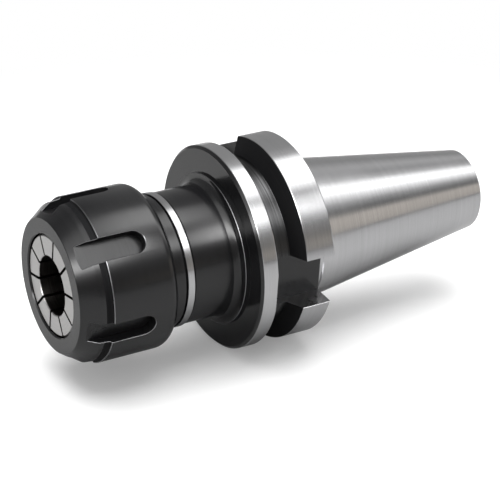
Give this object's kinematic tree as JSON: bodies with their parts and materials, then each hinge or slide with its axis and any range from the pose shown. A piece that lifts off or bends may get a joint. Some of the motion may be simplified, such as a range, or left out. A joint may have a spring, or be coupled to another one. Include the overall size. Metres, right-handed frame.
{
  "type": "collet chuck tool holder",
  "caption": "Steep taper tool holder with a gripper flange, a slotted spring collet and a clamping nut with spanner slots.",
  "frame": {"origin": "centre of the gauge plane of the taper shank", "axes": "+Z along the axis to the small end of the taper, +X through the middle of one drive slot"},
  "size_m": [0.063, 0.063, 0.1454],
  "materials": {
    "ground_steel": "ground bright on the taper, the flange lands and the ring, black oxide on the rest",
    "black_oxide_steel": "black oxide, satin",
    "satin_steel": "fine ground satin"
  },
  "bodies": {
    "holder": {"holder": "ground_steel"},
    "collet": {"collet": "satin_steel"},
    "nut": {"nut": "black_oxide_steel"}
  },
  "joints": [
    {"name": "collet_slide", "type": "slide", "parent": "holder", "child": "collet", "axis": [0, 0, -1], "range_m": [0, 0.018]},
    {"name": "nut_turn", "type": "hinge", "parent": "collet", "child": "nut", "pos_m": [0, 0, -0.065], "axis": [0, 0, -1], "range_deg": [0, 4320]}
  ],
  "couplings": [
    {"joint": "collet_slide", "follows": "nut_turn", "m_per_rad": 0.00023873}
  ]
}
